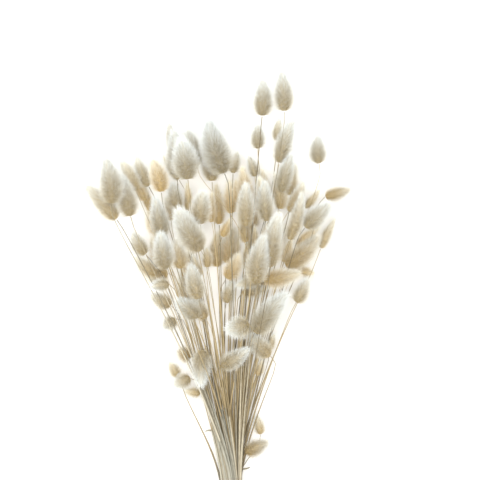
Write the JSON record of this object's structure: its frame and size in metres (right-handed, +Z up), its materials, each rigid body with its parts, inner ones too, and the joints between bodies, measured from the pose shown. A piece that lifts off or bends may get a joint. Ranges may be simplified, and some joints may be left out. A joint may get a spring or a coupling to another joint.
{
  "type": "dried bunny tail grass",
  "caption": "Hand-tied bunch of dried bleached bunny tail grass laid on a table: thin straw stems bound by twine, each with one soft egg-shaped head, fanned out",
  "frame": {"origin": "middle of the bounding box in plan, on the table that the bunch lies on", "axes": "+Y along the bunch from its cut ends to its heads, +Z up from the table towards the side that the picture shows, +X to the right of that side"},
  "size_m": [0.268, 0.5068, 0.1148],
  "materials": {
    "straw": "dry and matt, bleached, with a soft off-white down on the heads",
    "twine": "rough natural twine"
  },
  "bodies": {
    "root": {"culms_01": "straw", "culms_02": "straw", "culms_03": "straw", "culms_04": "straw", "culms_05": "straw", "culms_06": "straw", "culms_07": "straw", "culms_08": "straw", "culms_09": "straw", "culms_10": "straw", "culms_11": "straw", "culms_12": "straw", "culms_13": "straw", "culms_14": "straw", "culms_15": "straw", "culms_16": "straw", "culms_17": "straw", "culms_18": "straw", "culms_19": "straw", "culms_20": "straw", "culms_21": "straw", "culms_22": "straw", "culms_23": "straw", "culms_24": "straw", "culms_25": "straw", "culms_26": "straw", "culms_27": "straw", "culms_28": "straw", "culms_29": "straw", "culms_30": "straw", "culms_31": "straw", "culms_32": "straw", "culms_33": "straw", "culms_34": "straw", "culms_35": "straw", "culms_36": "straw", "culms_37": "straw", "culms_38": "straw", "culms_39": "straw", "culms_40": "straw", "culms_41": "straw", "culms_42": "straw", "culms_43": "straw", "culms_44": "straw", "culms_45": "straw", "culms_46": "straw", "culms_47": "straw", "culms_48": "straw", "culms_49": "straw", "culms_50": "straw", "culms_51": "straw", "culms_52": "straw", "culms_53": "straw", "twine_tie": "twine"}
  },
  "joints": []
}
